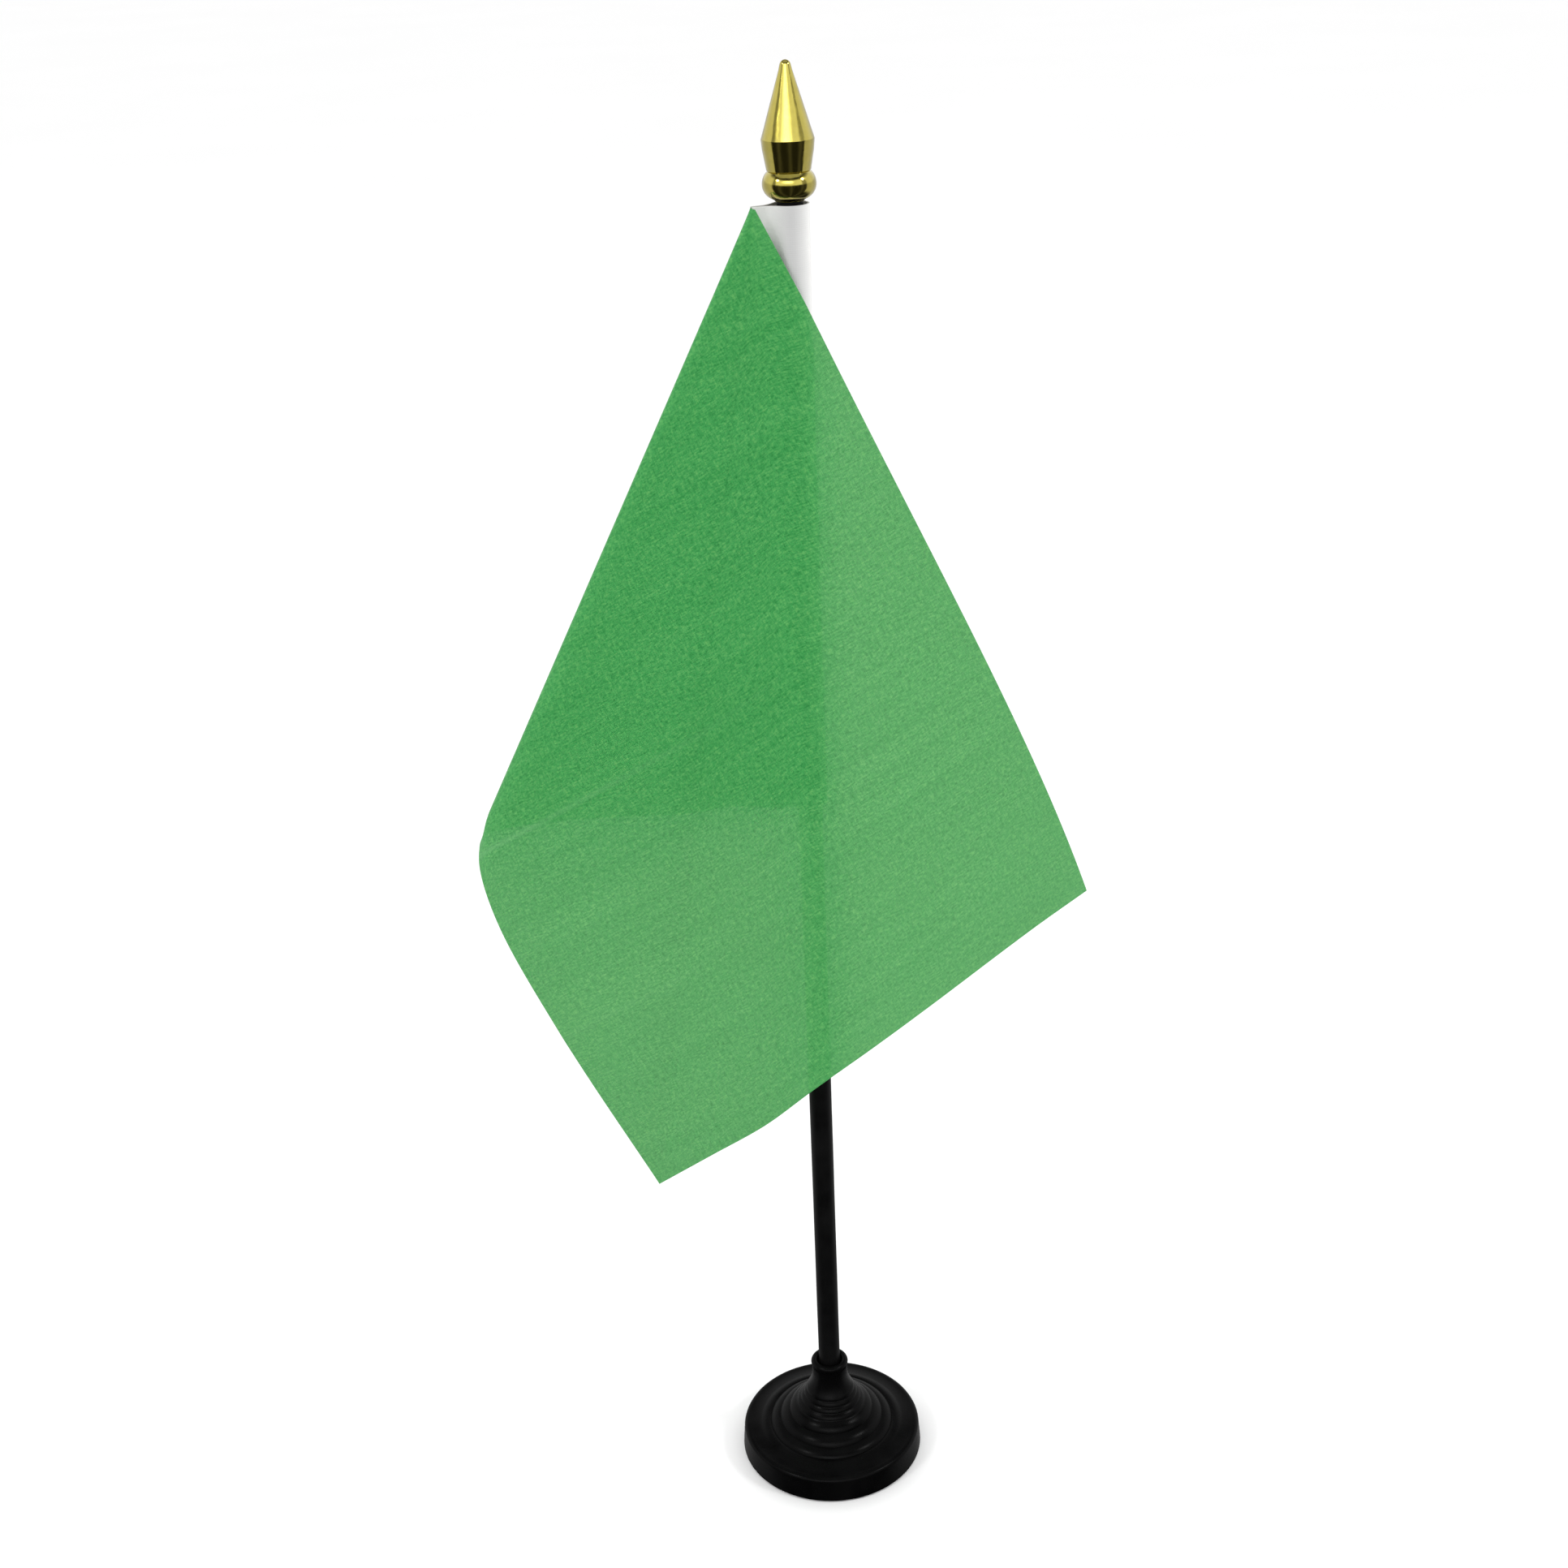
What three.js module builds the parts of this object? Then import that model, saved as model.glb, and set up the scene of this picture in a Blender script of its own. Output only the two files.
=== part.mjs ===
// Desk flag stand: a weighted foot, a tubular pole, a spear finial, and a flag sewn to a hoist sleeve.
// Millimetres, +Z up. The origin is the centre of the foot's bottom face, and the pole stands on the Z
// axis. The flag leaves the sleeve towards -X, rolls over once, and crosses back in front of the pole on
// the -Y side.

import * as THREE from "three";

// Driving dimensions.
const HOIST = 140; // the flag's height along the pole; its flat length beyond the seam is 210
const POLE_RADIUS = 2.85;
const POLE_BORE_RADIUS = 1.95;
const POLE_TOP_Z = 347; // inside the finial
const SOCKET_FLOOR_Z = 5; // the floor that the pole's lower end rests on
const FOOT_RADIUS = 24.5;
const FOOT_WALL = 1.6;
const COLLAR_TOP_Z = 28.5;
const FINIAL_TIP_Z = 365.2;
const SLEEVE_TOP_Z = 336.2;
const FLAG_THICKNESS = 0.4;
const TAPE_THICKNESS = 0.4;

// Clearances.
const RUNNING_GAP = 0.3; // between pieces that move against each other
const REST_GAP = 0.3; // between pieces that rest against each other

const RING_SIDES = 48;

// Materials.
function material(hex, roughness, metalness) {
  return new THREE.MeshStandardMaterial({ color: hex, roughness, metalness });
}
const BLACK_PLASTIC = material(0x1b1b1d, 0.38, 0);
const TUBE_PLASTIC = material(0x202124, 0.42, 0);
const BLACK_RUBBER = material(0x161616, 0.95, 0);
const IRON = material(0x55524e, 0.7, 0.9);
const GOLD_PLATING = material(0xb9a24a, 0.22, 1);
const GREEN_CLOTH = material(0x3f9a52, 0.8, 0);
const WHITE_TAPE = material(0xe9ece8, 0.75, 0);
const WHITE_THREAD = material(0xf4f4f0, 0.7, 0);

// A ring or solid of revolution from a profile of [radius, z] points, which runs up the outside and down
// the inside. A profile that doesn't start and end on the axis is closed on itself.
function turned(profile, sides = RING_SIDES) {
  const points = profile.map(([r, z]) => new THREE.Vector2(r, z));
  const first = points[0];
  const last = points[points.length - 1];
  if (first.x > 0 || last.x > 0) points.push(first.clone());
  const geometry = new THREE.LatheGeometry(points, sides);
  geometry.rotateX(Math.PI / 2); // the lathe turns about Y, and the stand's axis is Z
  return geometry;
}

// Points of an arc in a profile, from one angle to another, in degrees.
function arc(centreR, centreZ, radius, fromDeg, toDeg, steps) {
  const points = [];
  for (let i = 0; i <= steps; i++) {
    const angle = THREE.MathUtils.degToRad(fromDeg + ((toDeg - fromDeg) * i) / steps);
    points.push([centreR + radius * Math.cos(angle), centreZ + radius * Math.sin(angle)]);
  }
  return points;
}

// The foot. A trumpet rises from the shelf inside the skirt to the neck, as a superellipse quarter that
// is level at the shelf and upright at the neck.
const SHELF_Z = 7.4;
const SHELF_INNER_RADIUS = 18.6;
const NECK_RADIUS = 4.75;
const NECK_FOOT_Z = 24;
const TRUMPET_EXPONENT = 1.5;
const RIDGE_RADII = [18.0, 15.4, 12.8, 10.4, 8.75, 7.75, 6.9, 6.2]; // rounded steps around the trumpet
const RIDGE_SHARE = 0.18; // of a step's width, how far it stands out
const RIM_Z = REST_GAP + 0.1; // the skirt's lower edge, just clear of the table
const SKIRT_TAPER = 0.5;
const EDGE_ROUND = 1.15; // where the skirt turns in to the shelf
const COLLAR_ROUND = 0.97; // the rolled lip round the socket's mouth
const ROOF_RADII = [7, 9, 11.5, 14.5, 18]; // where the hollow's roof follows the trumpet
const BOSS_ROOF_Z = 12;

function trumpetZ(r) {
  const width = SHELF_INNER_RADIUS - NECK_RADIUS;
  const height = NECK_FOOT_Z - SHELF_Z;
  const across = Math.min(1, Math.max(0, (SHELF_INNER_RADIUS - r) / width));
  return NECK_FOOT_Z - height * (1 - across ** TRUMPET_EXPONENT) ** (1 / TRUMPET_EXPONENT);
}

function footOutline() {
  const points = [[FOOT_RADIUS - FOOT_WALL, RIM_Z]];
  points.push([FOOT_RADIUS, RIM_Z]);
  points.push([FOOT_RADIUS - SKIRT_TAPER, SHELF_Z - EDGE_ROUND - 0.15]);
  const roundR = FOOT_RADIUS - SKIRT_TAPER - EDGE_ROUND + 0.05;
  points.push(...arc(roundR, SHELF_Z - EDGE_ROUND - 0.05, EDGE_ROUND, 15, 90, 4));
  points.push([SHELF_INNER_RADIUS + 1.2, SHELF_Z - 0.3]);
  RIDGE_RADII.forEach((r, i) => {
    const next = RIDGE_RADII[i + 1] ?? NECK_RADIUS + 0.7;
    const width = r - next;
    const outer = r + width * 0.15;
    const crest = r - width * 0.08;
    const groove = (r + next) / 2;
    points.push([outer, trumpetZ(outer) + RIDGE_SHARE * width * 0.7]);
    points.push([crest, trumpetZ(crest) + RIDGE_SHARE * width]);
    points.push([groove, trumpetZ(groove)]);
  });
  points.push([NECK_RADIUS, NECK_FOOT_Z - 0.6]);
  points.push([NECK_RADIUS, COLLAR_TOP_Z - 2.1]);
  points.push(...arc(NECK_RADIUS - 0.75, COLLAR_TOP_Z - 1.0, COLLAR_ROUND, -35, 90, 5));
  return points;
}

function footShell() {
  const socketRadius = POLE_RADIUS + RUNNING_GAP;
  const outline = footOutline();
  // The socket, down from its mouth to its floor, then the boss's underside.
  outline.push([socketRadius + 0.35, COLLAR_TOP_Z - 0.03]);
  outline.push([socketRadius, COLLAR_TOP_Z - 0.6]);
  outline.push([socketRadius, SOCKET_FLOOR_Z]);
  outline.push([0, SOCKET_FLOOR_Z]);
  outline.push([0, SOCKET_FLOOR_Z - FOOT_WALL]);
  outline.push([NECK_RADIUS, SOCKET_FLOOR_Z - FOOT_WALL]);
  // The roof of the hollow, one wall below the trumpet and the shelf.
  const lowRoof = SHELF_Z - FOOT_WALL - 0.3;
  outline.push([NECK_RADIUS, BOSS_ROOF_Z]);
  for (const r of ROOF_RADII) {
    outline.push([r, Math.max(lowRoof, trumpetZ(r + 1) - FOOT_WALL - 0.4)]);
  }
  outline.push([FOOT_RADIUS - FOOT_WALL - 0.6, lowRoof]);
  outline.push([FOOT_RADIUS - FOOT_WALL, SHELF_Z - FOOT_WALL - 0.9]);
  return turned(outline);
}

// The ballast and the pad that closes the foot fill the hollow from below.
const PAD_THICKNESS = 1.3;
const PAD_RADIUS = FOOT_RADIUS - FOOT_WALL - 0.4;
const BALLAST_TOP_Z = SHELF_Z - FOOT_WALL - 0.6;

function ballastDisc() {
  const inner = NECK_RADIUS + 0.5;
  const outer = PAD_RADIUS - 0.3;
  const bottom = PAD_THICKNESS + REST_GAP;
  return turned([
    [inner, bottom],
    [outer - 0.4, bottom],
    [outer, bottom + 0.4],
    [outer, BALLAST_TOP_Z - 0.4],
    [outer - 0.4, BALLAST_TOP_Z],
    [inner, BALLAST_TOP_Z],
  ]);
}

function footPad() {
  return turned([
    [0, 0],
    [PAD_RADIUS - 0.3, 0],
    [PAD_RADIUS, 0.3],
    [PAD_RADIUS, PAD_THICKNESS],
    [0, PAD_THICKNESS],
  ]);
}

// The pole is a plain tube with its outer edges broken.
function poleTube() {
  const bottom = SOCKET_FLOOR_Z + REST_GAP;
  const edge = 0.3;
  return turned(
    [
      [POLE_BORE_RADIUS, bottom],
      [POLE_RADIUS - edge, bottom],
      [POLE_RADIUS, bottom + edge],
      [POLE_RADIUS, POLE_TOP_Z - edge],
      [POLE_RADIUS - edge, POLE_TOP_Z],
      [POLE_BORE_RADIUS, POLE_TOP_Z],
    ],
    32,
  );
}

// The finial: a cone above a waist and a bead, bored from below for the pole's top.
const FINIAL_BOTTOM_Z = SLEEVE_TOP_Z + REST_GAP;
const CONE_FOOT_Z = 349.4;
const CONE_RADIUS = 5.66;
const WAIST_Z = 343.1;
const WAIST_RADIUS = 4.75;
const BEAD_Z = 340.2;
const BEAD_RADIUS = 5.8;
const BEAD_HEIGHT = 3.3; // half of it, above and below the widest point

function finial() {
  const socketRadius = POLE_RADIUS + RUNNING_GAP;
  const ceiling = POLE_TOP_Z + REST_GAP;
  const tipRadius = 1.0;
  return turned(
    [
      [0, ceiling],
      [socketRadius, ceiling],
      [socketRadius, FINIAL_BOTTOM_Z],
      [socketRadius + 0.3, FINIAL_BOTTOM_Z],
      [BEAD_RADIUS - 1.85, BEAD_Z - BEAD_HEIGHT * 0.87],
      [BEAD_RADIUS - 0.5, BEAD_Z - BEAD_HEIGHT * 0.5],
      [BEAD_RADIUS, BEAD_Z],
      [BEAD_RADIUS - 0.15, BEAD_Z + BEAD_HEIGHT * 0.32],
      [WAIST_RADIUS + 0.5, WAIST_Z - 0.9],
      [WAIST_RADIUS, WAIST_Z],
      [WAIST_RADIUS + 0.35, WAIST_Z + 2.2],
      [CONE_RADIUS - 0.15, CONE_FOOT_Z - 1.0],
      [CONE_RADIUS, CONE_FOOT_Z - 0.1],
      [CONE_RADIUS - 0.15, CONE_FOOT_Z + 0.5],
      [tipRadius * 1.2, FINIAL_TIP_Z - 1.1],
      [tipRadius * 0.7, FINIAL_TIP_Z - 0.3],
      [0, FINIAL_TIP_Z],
    ],
    40,
  );
}

// The hoist sleeve is a tape folded round the pole. Its two plies lie flat together in a tail, which points
// away from the pole at the seam angle, and the flag's hoist edge is sewn in between them.
const SEAM_ANGLE = THREE.MathUtils.degToRad(200); // about +Z, from +X
const SEAM_REACH = 8.75; // from the pole's axis to the tail's end
const SLEEVE_RADIUS = 4.1;
const PLY_INNER = FLAG_THICKNESS / 2 + REST_GAP; // half the space between the plies
const PLY_OUTER = PLY_INNER + TAPE_THICKNESS;
const HOIST_EDGE_REACH = SEAM_REACH - 2.3; // how deep the flag's edge goes into the tail
const SLEEVE_SIDES = 24;

function hoistSleeve() {
  const innerRadius = SLEEVE_RADIUS - TAPE_THICKNESS;
  const outerStart = Math.asin(PLY_OUTER / SLEEVE_RADIUS);
  const innerStart = Math.asin(PLY_INNER / innerRadius);
  const outline = new THREE.Shape();
  outline.moveTo(SEAM_REACH, PLY_OUTER);
  outline.absarc(0, 0, SLEEVE_RADIUS, outerStart, 2 * Math.PI - outerStart, false);
  outline.lineTo(SEAM_REACH, -PLY_OUTER);
  outline.lineTo(SEAM_REACH, -PLY_INNER);
  outline.absarc(0, 0, innerRadius, 2 * Math.PI - innerStart, innerStart, true);
  outline.lineTo(SEAM_REACH, PLY_INNER);
  outline.closePath();
  const extrusion = { depth: HOIST, bevelEnabled: false, curveSegments: SLEEVE_SIDES };
  const geometry = new THREE.ExtrudeGeometry(outline, extrusion);
  geometry.rotateZ(SEAM_ANGLE);
  geometry.translate(0, 0, SLEEVE_TOP_Z - HOIST);
  return geometry;
}

// The lockstitch's two threads, one along each face of the tail.
const THREAD_WIDTH = 0.35;
const THREAD_HEIGHT = 0.25;
const THREAD_REACH = 7.4;
const THREAD_INSET = 1.5; // from each end of the sleeve

function seamThread(side) {
  const geometry = new THREE.BoxGeometry(THREAD_WIDTH, THREAD_HEIGHT, HOIST - 2 * THREAD_INSET);
  geometry.translate(THREAD_REACH, side * (PLY_OUTER + 0.1 + THREAD_HEIGHT / 2), SLEEVE_TOP_Z - HOIST / 2);
  geometry.rotateZ(SEAM_ANGLE);
  return geometry;
}

// The flag is a sheet of straight lines, each from its top hoist corner to a point of its free edge. The
// free edge runs from the foot of the hoist along the bottom edge to the lower corner, then up the fly edge
// to the upper corner. Past the fold the lines start a little in front of the tail, and those that would
// pass through the sleeve are drawn tight round it.
const BOTTOM_EDGE = [
  [-19, 4.5, 193.4],
  [-31.3, 13, 187.9],
  [-47, 24.5, 182.5],
  [-65.5, 28, 180.2],
  [-81.4, 19, 181.4],
  [-82.5, 13, 179.5],
  [-82, 9.5, 174.5],
  [-78, 7, 160],
  [-63, 4.5, 126],
  [-43, 3, 85.5],
];
const FLY_EDGE = [
  [-43, 3, 85.5],
  [-28.5, -3, 98],
  [-14, -6.5, 109],
  [-1.5, -6.5, 119],
  [14, 1, 126],
  [28.5, 11, 131],
  [58, 29.5, 143],
  [73, 38, 149],
];
const FOLD_START = 4; // the bottom edge's points between which the sheet turns to the front
const FOLD_END = 8;
const FOLD_CREST = 6;
const FOLD_SPREAD = 2;
const TOP_ARCH = 2.4; // the top edge bows out this far towards +X
const FOLD_FLARE = 1.5; // and the fold this far towards -X, near its lower end
const BOTTOM_COLUMNS = 30;
const FLY_COLUMNS = 16;
const ROWS = 16;
const ROW_CROWDING = 1.8; // rows lie closer together near the corner
const CORNER_GAP = 3; // the sheet starts this far from its corner, where the lines would meet
const FRONT_OFFSET = 1.9; // from the tail's middle to the lines that cross in front of it
const WRAP_RADIUS = SLEEVE_RADIUS + RUNNING_GAP + FLAG_THICKNESS / 2 + 0.3;

const seamDirection = new THREE.Vector3(Math.cos(SEAM_ANGLE), Math.sin(SEAM_ANGLE), 0);
const seamNormal = new THREE.Vector3(-seamDirection.y, seamDirection.x, 0); // towards the front
const hoistTop = seamDirection.clone().multiplyScalar(SEAM_REACH).setZ(SLEEVE_TOP_Z);
const frontTop = hoistTop.clone().addScaledVector(seamNormal, FRONT_OFFSET);

function edgeCurve(points) {
  const corners = points.map(([x, y, z]) => new THREE.Vector3(x, y, z));
  return new THREE.CatmullRomCurve3(corners, false, "centripetal");
}

// How far a line bows sideways at a share of its length: the arch is widest two thirds of the way down,
// and the flare just above the free edge.
function archAt(share) {
  return (share ** 2.2 * (1 - share)) / 0.137;
}

function flareAt(share) {
  return share * (1 - THREE.MathUtils.smoothstep(share, 0.94, 1));
}

// The sheet's lines in order from the hoist to the upper corner: where each starts and ends, and how it bows.
function sheetLines() {
  const hoistFoot = hoistTop.clone().setZ(SLEEVE_TOP_Z - HOIST);
  const bottom = edgeCurve([hoistFoot.toArray(), ...BOTTOM_EDGE]);
  const fly = edgeCurve(FLY_EDGE);
  const lines = [];
  for (let i = 0; i <= BOTTOM_COLUMNS; i++) {
    const along = (i / BOTTOM_COLUMNS) * BOTTOM_EDGE.length;
    const turned = THREE.MathUtils.smoothstep(along, FOLD_START, FOLD_END);
    const start = hoistTop.clone().lerp(frontTop, turned);
    const nearFold = Math.max(0, 1 - Math.abs(along - FOLD_CREST) / FOLD_SPREAD);
    const bow = (share) => -FOLD_FLARE * nearFold * flareAt(share);
    lines.push({ start, end: bottom.getPoint(i / BOTTOM_COLUMNS), bow });
  }
  for (let i = 1; i <= FLY_COLUMNS; i++) {
    const nearTop = THREE.MathUtils.smoothstep(i / FLY_COLUMNS, 0.3, 1);
    const bow = (share) => TOP_ARCH * nearTop * archAt(share);
    lines.push({ start: frontTop, end: fly.getPoint(i / FLY_COLUMNS), bow });
  }
  return lines;
}

// The path of one line seen from above: straight, or tight round the front of the sleeve. It returns a
// function from a share of the path's length to a point.
function tightPath(start, end) {
  const straight = (share) => start.clone().lerp(end, share);
  const run = new THREE.Vector2(end.x - start.x, end.y - start.y);
  const passing = (run.x * -start.y + run.y * start.x) / run.length(); // how far in front of the axis
  if (end.x < 0 || passing >= WRAP_RADIUS) return straight;
  const startReach = Math.hypot(start.x, start.y);
  const endReach = Math.hypot(end.x, end.y);
  const from = Math.atan2(start.y, start.x) + Math.acos(WRAP_RADIUS / startReach);
  const to = Math.atan2(end.y, end.x) - Math.acos(WRAP_RADIUS / endReach);
  const unwrapped = from < -Math.PI ? from + 2 * Math.PI : from;
  const first = Math.sqrt(startReach ** 2 - WRAP_RADIUS ** 2);
  const round = WRAP_RADIUS * (to - unwrapped);
  const last = Math.sqrt(endReach ** 2 - WRAP_RADIUS ** 2);
  const total = first + round + last;
  const touch = (angle) => [WRAP_RADIUS * Math.cos(angle), WRAP_RADIUS * Math.sin(angle)];
  return (share) => {
    const gone = share * total;
    const z = THREE.MathUtils.lerp(start.z, end.z, share);
    if (gone < first) {
      const [x, y] = touch(unwrapped);
      return start.clone().lerp(new THREE.Vector3(x, y, z), gone / first).setZ(z);
    }
    if (gone < first + round) {
      const [x, y] = touch(unwrapped + (gone - first) / WRAP_RADIUS);
      return new THREE.Vector3(x, y, z);
    }
    const [x, y] = touch(to);
    return new THREE.Vector3(x, y, z).lerp(end, (gone - first - round) / last).setZ(z);
  };
}

// A closed solid from a grid of middle points, half the thickness to each side along the grid's normals.
function thickSheet(grid, thickness) {
  const columns = grid.length;
  const rows = grid[0].length;
  const vertices = [];
  const at = (i, j) => grid[Math.min(columns - 1, Math.max(0, i))][Math.min(rows - 1, Math.max(0, j))];
  for (const side of [1, -1]) {
    for (let i = 0; i < columns; i++) {
      for (let j = 0; j < rows; j++) {
        const across = at(i + 1, j).clone().sub(at(i - 1, j));
        const down = at(i, j + 1).clone().sub(at(i, j - 1));
        const normal = across.cross(down).normalize();
        vertices.push(...at(i, j).clone().addScaledVector(normal, (side * thickness) / 2).toArray());
      }
    }
  }
  const index = (side, i, j) => side * columns * rows + i * rows + j;
  const faces = [];
  const quad = (a, b, c, d) => faces.push(a, b, c, a, c, d);
  for (let i = 0; i + 1 < columns; i++) {
    for (let j = 0; j + 1 < rows; j++) {
      quad(index(0, i, j), index(0, i + 1, j), index(0, i + 1, j + 1), index(0, i, j + 1));
      quad(index(1, i, j), index(1, i, j + 1), index(1, i + 1, j + 1), index(1, i + 1, j));
    }
    quad(index(0, i, 0), index(1, i, 0), index(1, i + 1, 0), index(0, i + 1, 0));
    quad(index(0, i + 1, rows - 1), index(1, i + 1, rows - 1), index(1, i, rows - 1), index(0, i, rows - 1));
  }
  for (let j = 0; j + 1 < rows; j++) {
    quad(index(0, 0, j + 1), index(1, 0, j + 1), index(1, 0, j), index(0, 0, j));
    const end = columns - 1;
    quad(index(0, end, j), index(1, end, j), index(1, end, j + 1), index(0, end, j + 1));
  }
  const geometry = new THREE.BufferGeometry();
  geometry.setAttribute("position", new THREE.Float32BufferAttribute(vertices, 3));
  geometry.setIndex(faces);
  return geometry;
}

function flagPanel() {
  const lines = sheetLines();
  const share = (j, length) => {
    const first = CORNER_GAP / length;
    return first + (1 - first) * (j / ROWS) ** ROW_CROWDING;
  };
  const grid = lines.map(({ start, end, bow }) => {
    const path = tightPath(start, end);
    const length = start.distanceTo(end);
    return Array.from({ length: ROWS + 1 }, (_, j) => {
      const point = path(share(j, length));
      point.x += bow(share(j, length));
      return point;
    });
  });
  const hoistEdge = seamDirection.clone().multiplyScalar(HOIST_EDGE_REACH);
  grid.unshift(grid[0].map((point) => hoistEdge.clone().setZ(point.z)));
  return thickSheet(grid, FLAG_THICKNESS);
}

function part(name, geometry, look) {
  const mesh = new THREE.Mesh(geometry, look);
  mesh.name = name;
  return mesh;
}

const group = new THREE.Group();
group.add(part("base_shell", footShell(), BLACK_PLASTIC));
group.add(part("ballast", ballastDisc(), IRON));
group.add(part("foot_pad", footPad(), BLACK_RUBBER));
group.add(part("pole", poleTube(), TUBE_PLASTIC));
group.add(part("finial", finial(), GOLD_PLATING));
group.add(part("hoist_sleeve", hoistSleeve(), WHITE_TAPE));
group.add(part("seam_thread_front", seamThread(1), WHITE_THREAD));
group.add(part("seam_thread_back", seamThread(-1), WHITE_THREAD));
group.add(part("flag_panel", flagPanel(), GREEN_CLOTH));

export default group;
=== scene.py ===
import math

import bmesh
import bpy
import numpy as np
from mathutils import Matrix, Vector, noise


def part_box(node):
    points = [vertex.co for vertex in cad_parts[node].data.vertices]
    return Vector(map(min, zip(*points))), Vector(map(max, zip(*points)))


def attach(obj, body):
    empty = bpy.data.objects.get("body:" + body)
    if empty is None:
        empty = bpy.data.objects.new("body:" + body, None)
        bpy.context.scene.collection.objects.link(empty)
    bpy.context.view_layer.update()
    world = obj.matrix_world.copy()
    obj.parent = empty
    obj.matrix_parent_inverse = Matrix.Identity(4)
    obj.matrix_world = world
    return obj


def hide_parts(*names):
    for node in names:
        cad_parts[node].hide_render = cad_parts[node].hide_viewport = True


# Looks of a desk flag stand: a weighted foot, a tubular pole, a gold spear finial, and a green flag sewn to a
# white hoist sleeve. Metres, +Z up, the pole on the Z axis. The camera's side of the stand is -Y.

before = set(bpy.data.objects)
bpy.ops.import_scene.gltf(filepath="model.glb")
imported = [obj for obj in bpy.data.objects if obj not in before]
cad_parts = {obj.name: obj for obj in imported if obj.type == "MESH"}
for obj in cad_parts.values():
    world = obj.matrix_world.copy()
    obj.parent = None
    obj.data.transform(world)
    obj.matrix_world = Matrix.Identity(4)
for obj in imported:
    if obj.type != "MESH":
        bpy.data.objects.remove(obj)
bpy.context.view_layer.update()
MM = 0.001


# ---------------------------------------------------------------- camera

CAMERA_PLACE = Vector((-6.14, -456.24, 409.48)) * MM
CAMERA_DOWN = math.radians(24.566)
CAMERA_ROLL = math.radians(-2.284)
CAMERA_LENS = 48.23
CAMERA_SENSOR = 36.0


def make_camera():
    data = bpy.data.cameras.new("camera")
    data.lens = CAMERA_LENS
    data.sensor_width = CAMERA_SENSOR
    data.clip_start = 0.01
    camera = bpy.data.objects.new("camera", data)
    bpy.context.scene.collection.objects.link(camera)
    turn = Matrix.Rotation(math.pi / 2 - CAMERA_DOWN, 4, "X") @ Matrix.Rotation(CAMERA_ROLL, 4, "Z")
    camera.matrix_world = Matrix.Translation(CAMERA_PLACE) @ turn
    bpy.context.scene.camera = camera


# ---------------------------------------------------------------- meshes

def add_mesh(name, vertices, faces, smooth=True):
    mesh = bpy.data.meshes.new(name)
    mesh.from_pydata([tuple(v) for v in vertices], [], faces)
    mesh.validate()
    if smooth:
        mesh.shade_smooth()
    mesh.update()
    obj = bpy.data.objects.new(name, mesh)
    bpy.context.scene.collection.objects.link(obj)
    return obj


def sharpen(obj, degrees):
    """Marks the edges that turn by more than an angle, so that smooth shading stops at them."""
    limit = math.radians(degrees)
    shape = bmesh.new()
    shape.from_mesh(obj.data)
    for edge in shape.edges:
        if len(edge.link_faces) == 2 and edge.calc_face_angle(0.0) > limit:
            edge.smooth = False
    shape.to_mesh(obj.data)
    shape.free()


def finish_piece(obj, body, material, replaced):
    obj.data.materials.append(material)
    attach(obj, body)
    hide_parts(replaced)


def arc(centre_r, centre_z, radius, start_deg, end_deg, steps):
    """Points of an arc in a profile."""
    angles = [math.radians(start_deg + (end_deg - start_deg) * i / steps) for i in range(steps + 1)]
    return [(centre_r + radius * math.cos(a), centre_z + radius * math.sin(a)) for a in angles]


def rounded(corners, steps=5):
    """Profile points from (r, z, fillet radius) corners. A fillet of 0 keeps the corner."""
    points = []
    for i, (r, z, fillet) in enumerate(corners):
        if fillet == 0 or i in (0, len(corners) - 1):
            points.append((r, z))
            continue
        here = Vector((r, z))
        before = Vector(corners[i - 1][:2]) - here
        after = Vector(corners[i + 1][:2]) - here
        half = before.angle(after) / 2
        reach = min(fillet / math.tan(half), 0.49 * before.length, 0.49 * after.length)
        start = here + before.normalized() * reach
        end = here + after.normalized() * reach
        for k in range(steps + 1):
            t = k / steps
            point = start * (1 - t) ** 2 + here * 2 * t * (1 - t) + end * t ** 2
            points.append((point.x, point.y))
    return points


def turned(name, profile, sides, push=None):
    """A closed body of revolution. The profile is (r, z) in millimetres, up the outside and down the inside.
    push gives a point's extra radius from its radius, height and angle."""
    vertices = []
    rings = []
    for r, z in profile:
        if r < 1e-6:
            rings.append([len(vertices)])
            vertices.append((0.0, 0.0, z * MM))
            continue
        ring = []
        for k in range(sides):
            angle = 2 * math.pi * k / sides
            radius = (r + (push(r, z, angle) if push else 0.0)) * MM
            ring.append(len(vertices))
            vertices.append((radius * math.cos(angle), radius * math.sin(angle), z * MM))
        rings.append(ring)
    faces = []
    closed = len(rings[0]) > 1 or len(rings[-1]) > 1
    pairs = list(zip(rings, rings[1:])) + ([(rings[-1], rings[0])] if closed else [])
    for low, high in pairs:
        for k in range(sides):
            nxt = (k + 1) % sides
            if len(low) == 1 and len(high) == 1:
                continue
            if len(low) == 1:
                faces.append((low[0], high[nxt], high[k]))
            elif len(high) == 1:
                faces.append((low[k], low[nxt], high[0]))
            else:
                faces.append((low[k], low[nxt], high[nxt], high[k]))
    return add_mesh(name, vertices, faces)


# ---------------------------------------------------------------- node helpers

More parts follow.
